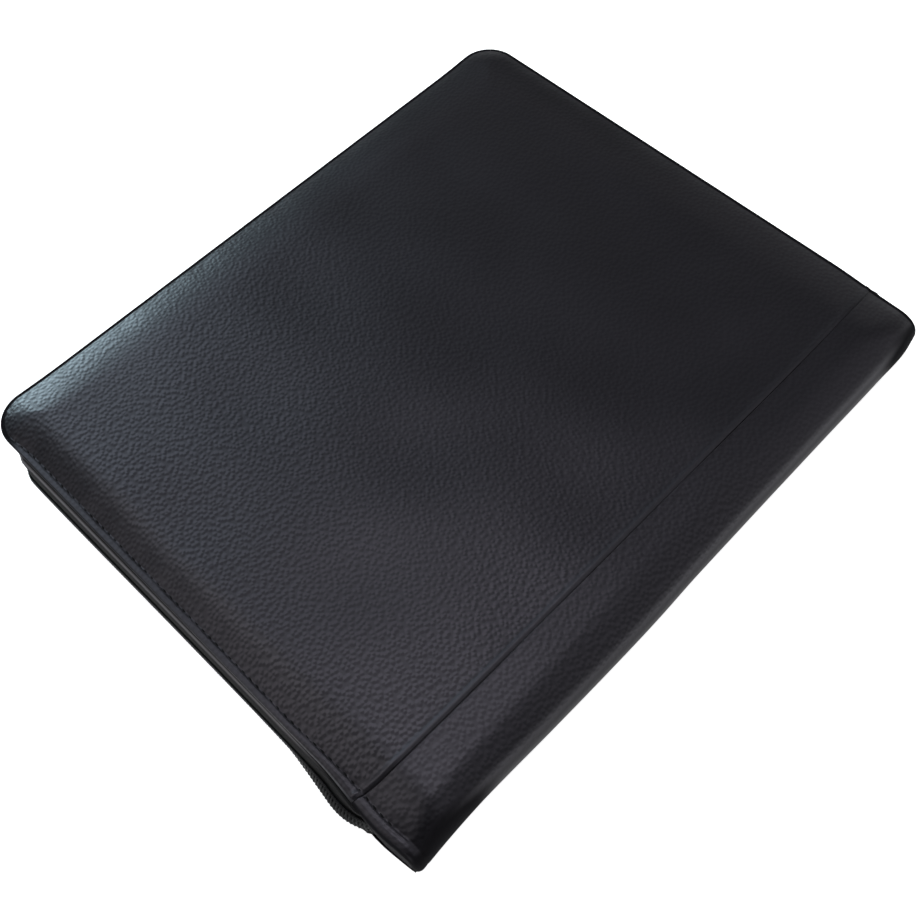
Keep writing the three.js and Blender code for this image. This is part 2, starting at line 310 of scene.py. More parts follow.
def along(rows, key, column, at):
    """A smooth curve through the rows of a table, read at many places."""
    places, values = rows[key], rows[column]
    last = len(places) - 1
    at = np.clip(np.asarray(at, float), places[0], places[-1])
    before = np.maximum(np.arange(last + 1) - 1, 0)
    after = np.minimum(np.arange(last + 1) + 1, last)
    slope = (values[after] - values[before]) / (places[after] - places[before])
    i = np.clip(np.searchsorted(places, at) - 1, 0, last - 1)
    span = places[i + 1] - places[i]
    t = (at - places[i]) / span
    hermite = t * t * (3 - 2 * t)
    swing = span * t * (1 - t) * (slope[i] * (1 - t) - slope[i + 1] * t)
    return values[i] * (1 - hermite) + values[i + 1] * hermite + swing


def seam_x(y):
    return along(SPINE_RUN, "y", "seam_x", y)


def spine_out(y):
    return along(SPINE_RUN, "y", "spine_out", y)


def beside_spine(x):
    return smooth(COVER_WIDTH - FLARE_START, COVER_WIDTH - FLARE_FULL, x)


def front_lip(x):
    return FRONT_LIP_HEIGHT - SPINE_LIP_DROP * beside_spine(x)


def on_near_end(y):
    return smooth(*NEAR_END_RUN, -y / HALF_LENGTH)


def wide_lip(x, y):
    """1 along the near end, where the lip is wide and its stitches show."""
    return smooth(*WIDE_LIP_RUN, x) * on_near_end(y)


def stitch_inset(x, y):
    """How far in from the lip's edge the stitches run."""
    near = along(NEAR_LIP, "x", "inset", x)
    return NARROW_INSET + (near - NARROW_INSET) * wide_lip(x, y)


def edge_round(x, y):
    """Radius of the lip's edge: crisp along the near end, then rolled under beside the spine."""
    near = along(NEAR_LIP, "x", "edge_round", x)
    return EDGE_ROUND + (near - EDGE_ROUND) * wide_lip(x, y)


def wall_at(inset):
    """Thickness of the leather and its padding, thin at the lips."""
    return LIP_WALL + (WALL - LIP_WALL) * smooth(*LIP_WALL_RUN, inset)


def rolled_under(x, y, inset, z):
    """Lowers a cover's inner face where the near end's lip rolls under beside the spine."""
    bottom = along(NEAR_LIP, "x", "bottom", x)
    at_edge = on_near_end(y) * (1 - smooth(*LIP_WALL_RUN, inset))
    return z + np.minimum(bottom - z, 0) * at_edge


def fullness(x, y, inset):
    """0 on the lip, 1 where the padding is full; it rises most steeply beside the near end's stitches."""
    run = PAD_RUN + (NEAR_PAD_RUN - PAD_RUN) * wide_lip(x, y)
    share = np.clip((inset - stitch_inset(x, y) - PAD_GAP) / run, 0, 1)
    return 1 - (1 - share) ** 2


def front_height(x, y, inset):
    bow = (1 - (2 * x / COVER_WIDTH - 1) ** 2) * (1 - (y / HALF_LENGTH) ** 2)
    full = fullness(x, y, inset)
    return front_lip(x) * (1 - full) + (CROWN_HEIGHT + PILLOW * bow) * full


def back_height(x, y, inset):
    return BACK_LIP_HEIGHT * (1 - fullness(x, y, inset))


def drawn_in(x, y):
    """The back cover's plan, a little smaller than the front's round the fore corners."""
    fore = BACK_TUCK * (1 - smooth(0, BACK_TUCK_REACH, x))
    end = smooth(*BACK_TUCK_ENDS, np.abs(y) / HALF_LENGTH)
    return x + fore, y - np.sign(y) * fore * end


def fore_bow(x, y):
    between_corners = 1 - smooth(*FORE_BOW_ENDS, np.abs(y) / HALF_LENGTH)
    return FORE_BOW * (1 - smooth(0, FORE_BOW_REACH, x)) * between_corners


def leather_points(x, y, z, splayed_at=None):
    """Sets points in space, with the near end's lips splayed outwards beside the spine."""
    level = z if splayed_at is None else splayed_at
    layer = BACK_FLARE + (FRONT_FLARE - BACK_FLARE) * (level - BACK_LIP_HEIGHT) / (
        FRONT_LIP_HEIGHT - BACK_LIP_HEIGHT
    )
    corner = 1 - (1 - FLARE_CORNER) * smooth(COVER_WIDTH - FLARE_FULL, COVER_WIDTH, x)
    depth = smooth(HALF_LENGTH - FLARE_DEPTH, HALF_LENGTH, -y)
    flared = y - layer * beside_spine(x) * corner * depth
    return np.stack(np.broadcast_arrays(x + fore_bow(x, y), flared, z), -1)


def leather_unevenness(x, y):
    total = 0
    for across, lengthwise, phase, height in LEATHER_WAVES:
        turn = 2 * np.pi * (x / across + y / lengthwise)
        total = total + height * np.sin(turn + phase)
    return total


# Round of stitches


def cover_seam():
    """Plan of the stitched line on a cover, from the near end of the spine seam to the far end."""
    straight = HALF_LENGTH - CORNER_RADIUS
    near_x = np.linspace(seam_x(-HALF_LENGTH) - SEAM_END_GAP, CORNER_RADIUS, 300)[:-1]
    far_x = np.linspace(CORNER_RADIUS, seam_x(HALF_LENGTH) - SEAM_END_GAP, 300)[1:]
    fore_y = np.linspace(-straight, straight, 360)[1:-1]
    angle = np.linspace(-np.pi / 2, -np.pi, 30)
    corner_x = CORNER_RADIUS * (1 + np.cos(angle))
    corner_y = CORNER_RADIUS * np.sin(angle) - straight
    facing = [0 * near_x - np.pi / 2, angle, 0 * fore_y + np.pi, -angle[::-1], 0 * far_x + np.pi / 2]
    edge_x = [near_x, corner_x, 0 * fore_y, corner_x[::-1], far_x]
    edge_y = [0 * near_x - HALF_LENGTH, corner_y, fore_y, -corner_y[::-1], 0 * far_x + HALF_LENGTH]
    x, y, facing = (np.concatenate(part) for part in (edge_x, edge_y, facing))
    inset = stitch_inset(x, y)
    return x - inset * np.cos(facing), y - inset * np.sin(facing)


def spine_faces(y, inset, sewn, inner=False):
    """Points round the spine strip from the front seam to the back seam, and their outward directions."""
    step = WALL - SEAM_STEP if inner else 0
    depth = WALL if inner else SEAM_STEP
    seam = seam_x(y) + SEAM_SLIT / 2
    top_seam = front_height(seam, y, inset) - depth
    top = front_height(COVER_WIDTH, y, inset) - depth
    bottom = back_height(COVER_WIDTH, y, inset) + depth
    turn = (top - bottom) / 2
    flattened = along(SPINE_RUN, "y", "turn", y)
    reach = flattened * turn
    centre = COVER_WIDTH + spine_out(y) - step - reach
    share = np.array(FLAT_SHARES)[:, None]
    angle = np.linspace(np.pi / 2, -np.pi / 2, TURN_STOPS)[:, None]
    flat_x = seam + (centre - seam) * share
    out_share = np.maximum(np.cos(angle), 0) ** (2 / TURN_POWER)
    x = np.concatenate([flat_x, centre + reach * out_share, flat_x[::-1]])
    sunk = SEAM_DIP * (1 - SEAM_FADE * smooth(*FAR_HALF, y))
    dip = 0 if inner else sunk * bump_at(flat_x, seam, SEAM_DIP_WIDTH)
    flat_z = top_seam + (top - top_seam) * share - dip
    low_z = (bottom + dip + 0 * flat_x)[::-1]
    z = np.concatenate([flat_z, (top + bottom) / 2 + turn * np.sin(angle), low_z])
    right_angle = np.full((len(share), 1), np.pi / 2)
    steep = TURN_POWER / 2 * out_share ** (TURN_POWER - 1)
    round_the_turn = np.arctan2(np.sin(angle) * flattened, steep)
    facing = np.concatenate([right_angle + 0 * y, round_the_turn, -right_angle + 0 * y])
    x = x + sewn * np.cos(facing)
    z = z + sewn * np.sin(facing)
    low = rolled_under(x, y, inset, z) if inner else z
    out = np.stack([np.cos(facing), 0 * x, np.sin(facing)], -1)
    return leather_points(x, y + 0 * x, low, z), out


def stitch_round():
    """The whole round of stitches: front lip, far end of the spine, back lip, near end of the spine."""
    x, y = cover_seam()
    front = leather_points(x, y, front_lip(x) - GROOVE_DEPTH - HIDDEN_SINK * (1 - wide_lip(x, y)))
    back = leather_points(*drawn_in(x, y), BACK_LIP_HEIGHT + GROOVE_DEPTH + 0 * x)[::-1]
    up = np.tile([0.0, 0.0, 1.0], (len(x), 1))
    ends = np.array([-HALF_LENGTH, HALF_LENGTH])
    inset = stitch_inset(COVER_WIDTH, ends)
    sunk = GROOVE_DEPTH + HIDDEN_SINK * (1 - wide_lip(COVER_WIDTH, ends))
    spine, spine_facing = spine_faces(ends - np.sign(ends) * inset, inset, -sunk)
    points = np.concatenate([front, spine[:, 1], back, spine[::-1, 0]])
    out = np.concatenate([up, spine_facing[:, 1], -up, spine_facing[::-1, 0]])
    return points, out


def path_lengths(points):
    return np.concatenate([[0], np.cumsum(np.linalg.norm(np.diff(points, axis=0), axis=1))])


stitch_points, stitch_out = stitch_round()
stitch_run = path_lengths(stitch_points)
stitch_total = stitch_run[-1] + np.linalg.norm(stitch_points[0] - stitch_points[-1])
STITCH_COUNT = round(stitch_total / STITCH_PITCH)
cover_count = len(cover_seam()[0])
spine_count = len(stitch_points) // 2 - cover_count
front_row = stitch_run[cover_count - 1]
back_row = stitch_run[[cover_count + spine_count, 2 * cover_count + spine_count - 1]]
stitch_tree = KDTree(len(stitch_points))
for number, point in enumerate(stitch_points):
    stitch_tree.insert(point, number)
stitch_tree.balance()


def run_beside(points):
    """How far along the round of stitches each point lies, as a share of the whole round."""
    flat = points.reshape(-1, 3)
    nearest = [stitch_tree.find(point)[1] for point in flat]
    return (stitch_run[nearest] / stitch_total).reshape(points.shape[:-1])


def sewing(x, y, inset, run):
    """Height that the sewing adds: a full turned edge, a sunk line, puckers and gathers."""
    line = stitch_inset(x, y)
    band = BAND_FULLNESS * np.sin(np.pi * np.clip(inset / line, 0, 1))
    pull = 0.5 + 0.5 * np.cos(2 * np.pi * STITCH_COUNT * run)
    depth = GROOVE_DEPTH * (GROOVE_BETWEEN + (1 - GROOVE_BETWEEN) * pull)
    groove = depth * bump_at(inset, line, GROOVE_WIDTH)
    pucker = PUCKER_DEPTH * pull * bump_at(inset, line + PUCKER_PLACE, PUCKER_REACH)
    gathers = 0
    for waves, phase, share in GATHER_WAVES:
        gathers = gathers + share * np.sin(2 * np.pi * waves * run + phase)
    gather = GATHER_DEPTH * gathers * bump_at(inset, line + GATHER_PLACE, GATHER_REACH)
    gather = gather * smooth(*GATHER_START, inset - line)
    return band - groove - pucker + gather


# Meshes


def shell(name, outer, inner, material, marks=None):
    """A closed body between two grids of points; marks are pairs of values kept at the points."""
    rows, columns = outer.shape[:2]
    front = np.arange(rows * columns).reshape(rows, columns)
    back = front + rows * columns

    def quads(grid):
        corners = [grid[:-1, :-1], grid[1:, :-1], grid[1:, 1:], grid[:-1, 1:]]
        return np.stack(corners, -1).reshape(-1, 4)

    rim = np.concatenate([front[:, 0], front[-1, 1:], front[-2::-1, -1], front[0, -2:0:-1]])
    ahead = np.roll(rim, -1)
    behind = rim + rows * columns
    wall = np.stack([ahead, rim, behind, np.roll(behind, -1)], -1)
    faces = np.concatenate([quads(front), quads(back)[:, ::-1], wall])
    points = to_frame(np.concatenate([outer.reshape(-1, 3), inner.reshape(-1, 3)]))
    if signed_volume(points, faces) < 0:
        faces = faces[:, ::-1]
    mesh = bpy.data.meshes.new(name)
    mesh.from_pydata(points.tolist(), [], faces.tolist())
    for mark, values in (marks or {}).items():
        kind, field = ("FLOAT_VECTOR", "vector") if values[0].ndim == 3 else ("FLOAT", "value")
        kept = mesh.attributes.new(mark, kind, "POINT")
        kept.data.foreach_set(field, np.concatenate([part.ravel() for part in values]))
    return add_piece(name, mesh, material)


def signed_volume(points, faces):
    a, b, c, d = (points[faces[:, i]] for i in range(4))
    return np.sum(a * np.cross(b, c)) + np.sum(a * np.cross(c, d))


def add_piece(name, mesh, material=None):
    mesh.polygons.foreach_set("use_smooth", np.ones(len(mesh.polygons), bool))
    if material:
        mesh.materials.append(material)
    mesh.update()
    piece = bpy.data.objects.new(name, mesh)
    bpy.context.scene.collection.objects.link(piece)
    return piece


# Grids follow the lips this far in, most closely where the leather is sewn and padded
EDGE_REACH = 45
SEWN_REACH = 6
PADDED_REACH = 20
SEAM_REACH = 10
AWAY_FROM_SEAM = 99


def edge_levels():
    """Distances in from a lip's edge, close together where it is rounded and sewn."""
    rounded = 1 - np.cos(np.linspace(0, np.pi / 2, 10))
    sewn = np.arange(1.25, SEWN_REACH, 0.25)
    padded = np.arange(SEWN_REACH, PADDED_REACH, 0.8)
    return np.concatenate([rounded, sewn, padded, np.linspace(PADDED_REACH, EDGE_REACH, 13)])


def lengthwise_levels():
    """Distances along the spine, from the near lip's edge to the far lip's."""
    edge = edge_levels()
    middle = np.linspace(EDGE_REACH, COVER_LENGTH - EDGE_REACH, 61)[1:-1]
    return np.concatenate([edge, middle, COVER_LENGTH - edge[::-1]])


def round_the_corner(a, b):
    """Bends a square grid so that its lines follow the rounded corner of the lips."""
    inset = np.minimum(a, b)
    longer = np.maximum(a, b)
    radius = np.maximum(CORNER_RADIUS - inset, 0)
    centre = np.maximum(CORNER_RADIUS, inset)
    arc = radius * np.pi / 4
    room = np.maximum(EDGE_REACH - inset, 1e-6)
    run = (longer - inset) / room * (arc + EDGE_REACH - centre)
    angle = np.pi / 4 * (1 - np.clip(run / np.maximum(arc, 1e-6), 0, 1))
    straight = np.maximum(run - arc, 0)
    far = centre - radius * np.sin(angle) + straight
    near = centre - radius * np.cos(angle)
    bent_a = np.where(a > b, far, near)
    bent_b = np.where(a > b, near, far)
    inside = longer < EDGE_REACH
    return np.where(inside, bent_a, a), np.where(inside, bent_b, b)


def cover_grid():
    """Plan places over a cover, with how far each lies in from the lips and from the seam."""
    middle = np.linspace(EDGE_REACH, SEAM_MIDDLE - SEAM_REACH, 51)[1:-1]
    ridge = np.arange(SEAM_REACH, RIDGE_ROUND, -0.45)
    rounded = RIDGE_ROUND * (1 - np.sin(np.linspace(0.2, 1.57, 5)))
    seam_side = SEAM_MIDDLE - SEAM_SLIT / 2 - np.concatenate([ridge, rounded])
    a = np.concatenate([edge_levels(), middle, seam_side])[:, None]
    a, b = np.broadcast_arrays(a, lengthwise_levels()[None, :])
    from_end = np.minimum(b, COVER_LENGTH - b)
    inset = np.minimum(a, from_end)
    x, from_end = round_the_corner(a, from_end)
    y = np.where(b < HALF_LENGTH, from_end - HALF_LENGTH, HALF_LENGTH - from_end)
    from_seam = SEAM_MIDDLE - SEAM_SLIT / 2 - a
    bow = smooth(SEAM_MIDDLE - SEAM_BOW_REACH, SEAM_MIDDLE, x)
    x = x + (seam_x(y) - SEAM_MIDDLE) * bow
    return x, y, inset, from_seam


def seam_ridge(from_seam):
    ridge = RIDGE_HEIGHT * bump_at(from_seam, RIDGE_PLACE, RIDGE_WIDTH)
    return ridge - quarter_round(from_seam, RIDGE_ROUND)


def turned_leather(x, y, inset, from_seam):
    """1 where the leather is turned and pressed, which smooths its grain."""
    lip = LIP_PRESSED * (1 - smooth(*LIP_PRESSED_RUN, inset - stitch_inset(x, y)))
    handled = FAR_SMOOTHNESS * smooth(*FAR_SMOOTH_RUN, y)
    seam = SEAM_PRESSED * (1 - smooth(*SEAM_PRESSED_RUN, from_seam))
    return np.maximum(np.maximum(lip, handled), seam)


def ink_and_shade_edge(x, y, inset):
    """1 on the lips' edges, which carry black edge ink and no shine; the mark also paints shade: a dark
    line along the lips' edges and a rolled and cut edge beside the spine with its shine taken away.
    """
    wide = wide_lip(x, y)
    narrow = (1 - wide) * (1 - smooth(*INK_AND_SHADE_RUN, inset))
    # Painted shade on the rolled lip beside the spine
    rolled = wide * beside_spine(x) * (1 - smooth(0, ROLL_SHARE * edge_round(x, y), inset))
    # Edge ink and painted shade on the near end's cut lip edge
    cut = wide * (1 - smooth(*CUT_RUN, inset)) * (1 - CUT_FADE * smooth(*CUT_FADE_RUN, x))
    return np.maximum(np.maximum(narrow, CUT_INK_AND_SHADE * cut), ROLL_SHADE * rolled)


def leather_marks(across, y, inset, from_seam, x):
    """Where each point lies on the flat hide, how far it is pressed, how much edge ink and painted shade
    take its shine, and the painted highlight on the seam ridge.
    """
    hide = np.stack(np.broadcast_arrays(across, y, 0), -1)
    turned = turned_leather(x, y, inset, from_seam) + 0 * hide[..., 0]
    far_half = smooth(*FAR_HALF, y)
    # Painted shade along the seam's slit in the far half
    seam_shade = FAR_SEAM_SHADE * far_half * (1 - smooth(*FAR_SEAM_RUN, from_seam))
    inked = np.maximum(ink_and_shade_edge(x, y, inset), seam_shade) + 0 * hide[..., 0]
    # Painted highlight along the seam ridge
    rubbed = bump_at(from_seam, RIDGE_PLACE, RIDGE_WIDTH) * (1 - RIDGE_HIGHLIGHT_FADE * far_half)
    rubbed = rubbed + 0 * hide[..., 0]
    return {
        "hide": (hide, hide),
        "turned": (turned, turned),
        # Inner faces, and the walls between, take full edge ink and painted shade
        "inked": (inked, np.ones_like(inked)),
        "rubbed": (rubbed, rubbed),
    }


def lip_rounding(x, y, inset, wall):
    """How far the outer and the inner face fall away at the lip's edge."""
    outer = edge_round(x, y)
    inner = np.clip(wall - LEAST_ROUND - outer, LEAST_ROUND, UNDER_ROUND)
    return quarter_round(inset, outer), quarter_round(inset, inner)


def front_cover(material):
    x, y, inset, from_seam = cover_grid()
    height = front_height(x, y, inset)
    run = run_beside(leather_points(x, y, height))
    wall = wall_at(inset)
    rounding, under = lip_rounding(x, y, inset, wall)
    full = fullness(x, y, inset)
    outer = height + sewing(x, y, inset, run) - rounding
    outer = outer + seam_ridge(from_seam) + full * leather_unevenness(x, y)
    inner = height - wall + under
    rolled = leather_points(x, y, rolled_under(x, y, inset, inner), inner)
    marks = leather_marks(x, y, inset, from_seam, x)
    return shell("front_cover", leather_points(x, y, outer), rolled, material, marks)


def back_cover(material):
    x, y, inset, from_seam = cover_grid()
    height = back_height(x, y, inset)
    run = run_beside(leather_points(*drawn_in(x, y), height))
    wall = wall_at(inset)
    rounding, under = lip_rounding(x, y, inset, wall)
    sewn = sewing(x, y, inset, run) + seam_ridge(from_seam) - rounding
    outer = np.maximum(height - sewn, 0)
    inner = height + wall - under
    faces = (leather_points(*drawn_in(x, y), face) for face in (outer, inner))
    return shell("back_cover", *faces, material, leather_marks(-x, y, inset, from_seam, x))


def spine_strip(material):
    b = lengthwise_levels()
    y = b - HALF_LENGTH
    inset = np.minimum(b, COVER_LENGTH - b)
    plain, facing = spine_faces(y, inset, 0)
    run = run_beside(plain)
    wall = wall_at(inset)
    rounding, under = lip_rounding(COVER_WIDTH, y, inset, wall - SEAM_STEP)
    wave = leather_unevenness(1.3 * plain[..., 0] + 2 * plain[..., 2], y)
    wave = SPINE_UNEVENNESS * fullness(COVER_WIDTH, y, inset) * wave
    outer, _ = spine_faces(y, inset, sewing(COVER_WIDTH, y, inset, run) - rounding + wave)
    inner, _ = spine_faces(y, inset, under + WALL - wall, inner=True)
    round_spine = np.cumsum(np.linalg.norm(np.diff(plain, axis=0, prepend=plain[:1]), axis=2), axis=0)
    marks = leather_marks(COVER_WIDTH + round_spine, y, inset, AWAY_FROM_SEAM, COVER_WIDTH)
    # Painted shade: the spine is darkened and loses its shine where it faces sideways and down, more at
    # both ends
    at_ends = np.maximum(smooth(*SPINE_NEAR_END, y), smooth(*SPINE_FAR_END, y))
    wear_and_shade = SPINE_UNDERSIDE_SHADE * smooth(*SPINE_UNDERSIDE_RUN, facing[..., 2])
    wear_and_shade = wear_and_shade + SPINE_END_SHADE * at_ends * smooth(*SPINE_END_RUN, facing[..., 2])
    marks["inked"] = (np.maximum(marks["inked"][0], wear_and_shade), marks["inked"][1])
    marks["turned"] = [np.maximum(turned, SPINE_PRESSED) for turned in marks["turned"]]
    return shell("spine_strip", outer, inner, material, marks)


# Zip


def corner_stops(side, place):
    """Places along the zip on both arms of one fore corner, measured from the corner's middle."""
    quarter = CORNER_RADIUS * np.pi / 4
    facing = side * 3 * np.pi / 4 - np.clip(place / quarter, -1, 1) * np.pi / 4
    beyond = place - np.clip(place, -quarter, quarter)
    x = CORNER_RADIUS * (1 + np.cos(facing)) + beyond * np.sin(facing)
    straight = side * (HALF_LENGTH - CORNER_RADIUS)
    y = straight + CORNER_RADIUS * np.sin(facing) - beyond * np.cos(facing)
    near_end = (side < 0) & (place < 0)
    from_spine = np.where(near_end, COVER_WIDTH - x, np.inf)
    tuck = CORNER_TUCK * (1 - smooth(CORNER_TUCK_FULL, CORNER_TUCK_END, np.abs(place)))
    return {
        "x": x + fore_bow(x, y),
        "y": y,
        "facing": facing,
        "out": along(ZIP_NEAR_END, "from_spine", "out", from_spine) - tuck,
        "height": along(ZIP_NEAR_END, "from_spine", "height", from_spine),
        "lean": np.radians(along(ZIP_NEAR_END, "from_spine", "lean", from_spine)),
    }


def zip_route(end_from_spine, spacing=1.0):
    """The zip's way round three sides, from the near end of the spine to the far end."""
    quarter = CORNER_RADIUS * np.pi / 4
    arm = quarter + COVER_WIDTH - CORNER_RADIUS
    fore = quarter + HALF_LENGTH - CORNER_RADIUS
    near = np.arange(TAPE_END_FROM_SPINE - arm, fore, spacing)
    far = np.append(np.arange(-fore, arm - end_from_spine - 0.2, spacing), arm - end_from_spine)
    stops = [corner_stops(-1, near), corner_stops(1, far)]
    return {key: np.concatenate([part[key] for part in stops]) for key in stops[0]}


def on_chain(route, across, up):
    """A point of the leaning chain: how far out from the lip, and how high."""
    lean = route["lean"]
    out = route["out"] + across * np.cos(lean) - up * np.sin(lean)
    return out, route["height"] + across * np.sin(lean) + up * np.cos(lean)


def stand(route, out, height):
    """Sets a section's points, out from the lip and up, at every stop of the route."""
    facing = route["facing"][:, None]
    x = route["x"][:, None] + out * np.cos(facing)
    y = route["y"][:, None] + out * np.sin(facing)
    return np.stack([x, y, height], -1)


def cut_corners(line):
    """Rounds a line of points by cutting its corners, keeping its ends."""
    quarter = 0.75 * line[:, :-1] + 0.25 * line[:, 1:]
    three_quarters = 0.25 * line[:, :-1] + 0.75 * line[:, 1:]
    between = np.stack([quarter, three_quarters], 2).reshape(line.shape[0], -1, line.shape[2])
    return np.concatenate([line[:, :1], between[:, 1:-1], line[:, -1:]], 1)


def zip_tape(name, side, material):
    """A woven tape that lies against its lip, steps out past it and turns to the chain."""
    route = zip_route(TAPE_END_FROM_SPINE)
    half = TAPE_THICKNESS / 2
    if side > 0:
        lip_face = front_lip(route["x"]) - LIP_WALL
    else:
        lip_face = BACK_LIP_HEIGHT + LIP_WALL + 0 * route["x"]
    seat = lip_face - side * (TAPE_CLEARANCE + half)
    at_end = leather_points(route["x"], np.full(len(seat), -HALF_LENGTH), lip_face)[:, 1]
    splay = np.where(route["y"] < 0, -HALF_LENGTH - at_end, 0)
    behind = CORE_IN - half
    edge = on_chain(route, behind, side * CHAIN_HEIGHT / 2)
    lap = on_chain(route, behind, side * (CHAIN_HEIGHT / 2 - TAPE_LAP))
    fading = smooth(*TAPE_LEDGE_RUN, route["x"]) * (route["y"] < 0)
    ledge = np.minimum(splay, edge[0]) + TAPE_LEDGE - TAPE_LEDGE_FADE * fading
    corners = [
        (ledge - TAPE_TUCK, seat),
        (ledge - TAPE_FOLD, seat),
        (ledge, seat - side * TAPE_FOLD),
        edge,
        lap,
    ]
    line = np.stack([np.stack(corner, -1) for corner in corners], 1)
    for _ in range(2):
        line = cut_corners(line)
    course = np.gradient(line, axis=1)
    course = course / np.linalg.norm(course, axis=2, keepdims=True)
    away = half * np.stack([-course[..., 1], course[..., 0]], -1)
    faces = [stand(route, face[..., 0], face[..., 1]) for face in (line + away, line - away)]
    run = path_lengths(stand(route, *on_chain_line(route))[:, 0])
    across = np.cumsum(np.linalg.norm(np.diff(line, axis=1, prepend=line[:, :1]), axis=2), axis=1)
    # Painted highlight along the tape's folded edge, faded out beside the spine
    fold_out = ledge[:, None] - FOLD_PLACE[0] * TAPE_FOLD
    fold_height = seat[:, None] - side * FOLD_PLACE[1] * TAPE_FOLD
    from_fold = np.hypot(line[..., 0] - fold_out, line[..., 1] - fold_height)
    hidden = smooth(*FOLD_HIDDEN, route["x"])[:, None]
    marks = {
        "along_tape": run[:, None] + 0 * across,
        "across_tape": across,
        "fold_highlight": bump_at(from_fold, 0, FOLD_HIGHLIGHT_WIDTH) * (1 - hidden),
    }
    marks = {mark: (values, values) for mark, values in marks.items()}
    return shell(name, faces[0], faces[1], material, marks)


def on_chain_line(route):
    out, height = on_chain(route, 0, 0)
    return out[:, None], height[:, None]


def coil_core(material):
    """The flat strip of cord and tape edges that the coil's turns are wound on."""
    route = zip_route(SLIDER_FROM_SPINE)
    up = np.linspace(-COIL_HALF, COIL_HALF, 7)
    outer = [on_chain(route, CORE_OUT, level) for level in up]
    inner = [on_chain(route, CORE_IN, level) for level in up]
    faces = [
        stand(route, *(np.stack(part, -1) for part in zip(*face))) for face in (outer, inner)
    ]
    return shell("coil_core", faces[0], faces[1], material)


# Node trees


def both_ways(operation):
    """An operator of Wire, with the wire before the other value and after it."""

    def before(wire, other):
        return wire.math(operation, wire, other)

    def after(wire, other):
        return wire.math(operation, other, wire)

    return before, after


class Wire:
    """One output of a node, on which Python's operators add Math nodes."""

    __add__, __radd__ = both_ways("ADD")
    __sub__, __rsub__ = both_ways("SUBTRACT")
    __mul__, __rmul__ = both_ways("MULTIPLY")

    def __init__(self, sheet, socket):
        self.sheet = sheet
        self.socket = socket

    def math(self, operation, *values):
        return self.sheet.node("ShaderNodeMath", {"operation": operation}, dict(enumerate(values)))

    def sine(self):
        return self.math("SINE", self)


class NodeSheet:
    """Adds nodes to a tree: a node's type, its settings, and the values or links of its sockets."""

    def __init__(self, tree):
        self.tree = tree

    def node(self, kind, settings=None, sockets=None, output=0):
        made = self.tree.nodes.new(kind)
        for name, value in (settings or {}).items():
            setattr(made, name, value)
        for name, value in (sockets or {}).items():
            if isinstance(value, Wire):
                self.tree.links.new(value.socket, made.inputs[name])
            else:
                made.inputs[name].default_value = value
        return Wire(self, made.outputs[output]) if made.outputs else made

    def ease(self, value, low, high):
        """0 below low, 1 above high, and a soft step between."""
        sockets = {"Value": value, "From Min": low, "From Max": high}
        return self.node("ShaderNodeMapRange", {"interpolation_type": "SMOOTHSTEP"}, sockets)

    def tint(self, share, dark, light):
        """One colour that turns into another."""
        sockets = {0: share, 6: (*dark, 1), 7: (*light, 1)}
        return self.node("ShaderNodeMix", {"data_type": "RGBA"}, sockets, 2)

    def noise(self, place, scale, detail=2.0):
        sockets = {"Vector": place, "Scale": scale, "Detail": detail}
        return self.node("ShaderNodeTexNoise", None, sockets, "Fac")

    def mark(self, name, output="Fac"):
        return self.node("ShaderNodeAttribute", {"attribute_name": name}, None, output)

    def vector(self, operation, sockets):
        return self.node("ShaderNodeVectorMath", {"operation": operation}, sockets)

    def millimetres(self):
        """The piece's own place, in millimetres."""
        place = self.node("ShaderNodeTexCoord", None, None, "Object")
        return self.vector("SCALE", {0: place, "Scale": 1 / MM})

    def relief(self, height, depth):
        """Bumps of a depth in millimetres."""
        sockets = {"Height": height, "Distance": depth * MM, "Strength": 1.0}
        return self.node("ShaderNodeBump", None, sockets, "Normal")

    def skin(self, sockets):
        return self.node("ShaderNodeBsdfPrincipled", None, sockets)

    def surface(self, shader):
        self.node("ShaderNodeOutputMaterial", None, {"Surface": shader})

    def plain_finish(self, sockets):
        self.surface(self.skin(sockets))


def new_finish(name):
    material = bpy.data.materials.new(name)
    material.use_nodes = True
    material.node_tree.nodes.clear()
    return material, NodeSheet(material.node_tree)


# Finishes
PEBBLE = 1.8
PEBBLE_DEPTH = 0.05
# How far the pebbles are sampled towards the window and away from it; the two copies give the bump and the
# painted shade on each pebble's side away from the light
LIGHT_SIDE_SHIFT = (0.33, -0.1, 0)
PEBBLE_REACH = 0.65
PRESSED_SHARE = 0.85
# Softness of the painted pebble shade, and how much of the shine it takes away
SHADE_SOFTNESS = 0.6
SHADE_DULLNESS = 0.54
FINE_GRAIN = 0.03
FULL_INK_AND_SHADE = 0.7
# Leather colours: random cloudy tone between the shaded and lit tones, with the painted pebble shade
# pulling towards the darker one
LEATHER_SHADED_TONE = (0.0046, 0.0043, 0.0056)
# Colour of the edge ink, also used for painted shade
LEATHER_INK_AND_SHADE = (0.008, 0.0076, 0.009)
LEATHER_LIT_TONE = (0.0078, 0.0074, 0.0095)
LEATHER_GLOSS = (0.93, 0.89, 1.0, 1)
WARP_PITCH = 0.55
WEFT_PITCH = 0.9
# Share of pale colour painted on the tape's folded edge as a highlight
FOLD_HIGHLIGHT = 0.7


def pebbles(sheet, hide, operation):
    """Height of the hide's pebbles, seen a little to one side."""
    place = sheet.vector(operation, {0: hide, 1: LIGHT_SIDE_SHIFT})
    from_middle = sheet.node(
        "ShaderNodeTexVoronoi",
        {"voronoi_dimensions": "2D", "feature": "SMOOTH_F1"},
        {"Vector": place, "Scale": 1 / PEBBLE, "Randomness": 0.9, "Smoothness": 0.5},
        "Distance",
    )
    return 1 - sheet.ease(from_middle, 0.0, PEBBLE_REACH)


